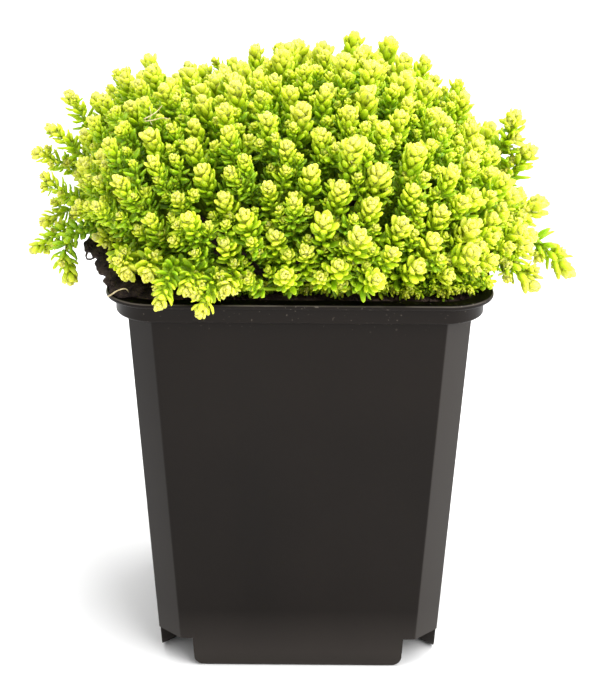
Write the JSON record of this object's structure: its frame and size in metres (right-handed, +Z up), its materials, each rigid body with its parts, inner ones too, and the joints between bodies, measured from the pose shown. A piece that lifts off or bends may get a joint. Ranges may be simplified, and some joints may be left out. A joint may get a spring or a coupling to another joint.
{
  "type": "potted golden stonecrop",
  "caption": "Golden stonecrop, a mound of lemon-yellow and lime leaf rosettes on short stems, in a black square plastic nursery pot full of dark peat",
  "frame": {"origin": "on the upright axis of the pot, at the level that its feet stand on", "axes": "+Z up, from the feet to the top of the mound; +Y from the front of the plant to its back, so that the side the picture shows looks at -Y; +X to the right in the picture"},
  "size_m": [0.132, 0.1052, 0.1489],
  "materials": {
    "pot_plastic": "satin",
    "peat_soil": "matte",
    "stonecrop_leaf": "satin"
  },
  "bodies": {
    "root": {"nursery_pot": "pot_plastic", "potting_soil": "peat_soil", "mound_clump_01": "stonecrop_leaf", "mound_clump_02": "stonecrop_leaf", "mound_clump_03": "stonecrop_leaf", "mound_clump_04": "stonecrop_leaf", "mound_clump_05": "stonecrop_leaf", "mound_clump_06": "stonecrop_leaf", "mound_clump_07": "stonecrop_leaf", "mound_clump_08": "stonecrop_leaf", "mound_clump_09": "stonecrop_leaf", "mound_clump_10": "stonecrop_leaf", "mound_clump_11": "stonecrop_leaf", "mound_clump_12": "stonecrop_leaf", "mound_clump_13": "stonecrop_leaf", "mound_clump_14": "stonecrop_leaf", "mound_clump_15": "stonecrop_leaf", "mound_clump_16": "stonecrop_leaf", "mound_clump_17": "stonecrop_leaf", "mound_clump_18": "stonecrop_leaf", "mound_clump_19": "stonecrop_leaf", "mound_clump_20": "stonecrop_leaf", "mound_clump_21": "stonecrop_leaf", "mound_clump_22": "stonecrop_leaf", "mound_clump_23": "stonecrop_leaf", "mound_clump_24": "stonecrop_leaf", "mound_clump_25": "stonecrop_leaf", "mound_clump_26": "stonecrop_leaf", "mound_clump_27": "stonecrop_leaf", "mound_clump_28": "stonecrop_leaf", "mound_clump_29": "stonecrop_leaf", "mound_clump_30": "stonecrop_leaf", "mound_clump_31": "stonecrop_leaf", "mound_clump_32": "stonecrop_leaf", "mound_clump_33": "stonecrop_leaf", "mound_clump_34": "stonecrop_leaf", "mound_clump_35": "stonecrop_leaf", "stray_stem_left_top": "stonecrop_leaf", "stray_stem_left_shoulder": "stonecrop_leaf", "stray_stem_left_high": "stonecrop_leaf", "stray_stem_left_middle": "stonecrop_leaf", "stray_stem_left_low": "stonecrop_leaf", "stray_stem_left_drooping": "stonecrop_leaf", "stray_stem_left_hanging": "stonecrop_leaf", "stray_stem_corner": "stonecrop_leaf", "stray_stem_corner_low": "stonecrop_leaf", "stray_stem_front_left": "stonecrop_leaf", "stray_stem_front_overhang": "stonecrop_leaf", "stray_stem_front_twin": "stonecrop_leaf", "stray_stem_front_spill": "stonecrop_leaf", "stray_stem_front_edge": "stonecrop_leaf", "stray_stem_right_top": "stonecrop_leaf", "stray_stem_right_high": "stonecrop_leaf", "stray_stem_right_middle": "stonecrop_leaf", "stray_stem_right_trailing": "stonecrop_leaf", "stray_stem_right_low": "stonecrop_leaf"}
  },
  "joints": []
}
